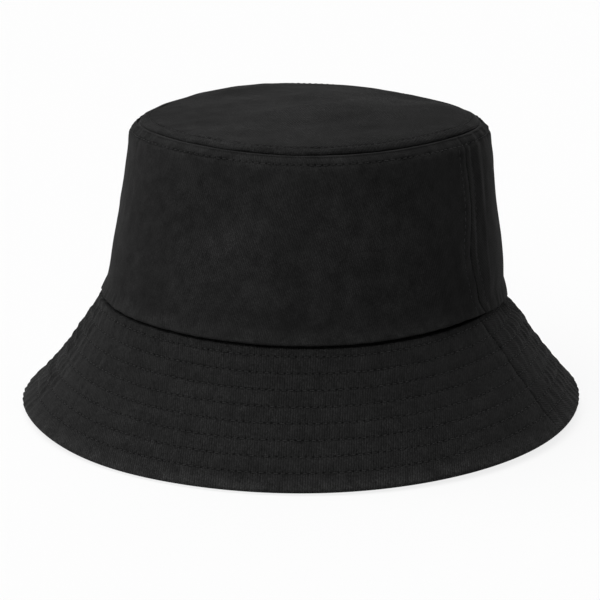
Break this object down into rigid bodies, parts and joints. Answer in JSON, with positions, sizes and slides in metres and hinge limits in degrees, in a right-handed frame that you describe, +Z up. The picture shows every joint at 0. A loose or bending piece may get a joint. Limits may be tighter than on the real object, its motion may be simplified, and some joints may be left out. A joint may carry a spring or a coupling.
{
  "type": "bucket hat",
  "caption": "Sewn cotton bucket hat with an oval tip, a tapered crown side, a sweatband and a sloping brim held by concentric rows of stitching.",
  "frame": {"origin": "under the middle of the hat, on the surface that the brim's rim rests on", "axes": "+Z up; the hat faces -Y, +X is to its wearer's left, +Y is to the back"},
  "size_m": [0.2522, 0.2662, 0.1386],
  "materials": {
    "twill": "matt black cotton twill",
    "thread": "black sewing thread",
    "sweatband_cloth": "matt black cotton band",
    "tape": "black bias tape",
    "stiffener": "off-white needled felt",
    "label": "plain woven label, bare"
  },
  "bodies": {
    "root": {"crown_tip": "twill", "crown_side_front": "twill", "crown_side_back": "twill", "brim_top_front": "twill", "brim_top_back": "twill", "brim_under_front": "twill", "brim_under_back": "twill", "brim_stiffener_front": "stiffener", "brim_stiffener_back": "stiffener", "sweatband": "sweatband_cloth", "tip_seam_tape": "tape", "side_seam_tape_left": "tape", "side_seam_tape_right": "tape", "blank_label": "label", "tip_topstitch": "thread", "crown_topstitch": "thread", "side_topstitch_left": "thread", "side_topstitch_right": "thread", "sweatband_stitch": "thread", "brim_stitch_row_1": "thread", "brim_stitch_row_2": "thread", "brim_stitch_row_3": "thread", "brim_stitch_row_4": "thread", "brim_stitch_row_5": "thread", "brim_stitch_row_6": "thread", "brim_stitch_row_7": "thread", "brim_stitch_row_8": "thread"}
  },
  "joints": []
}
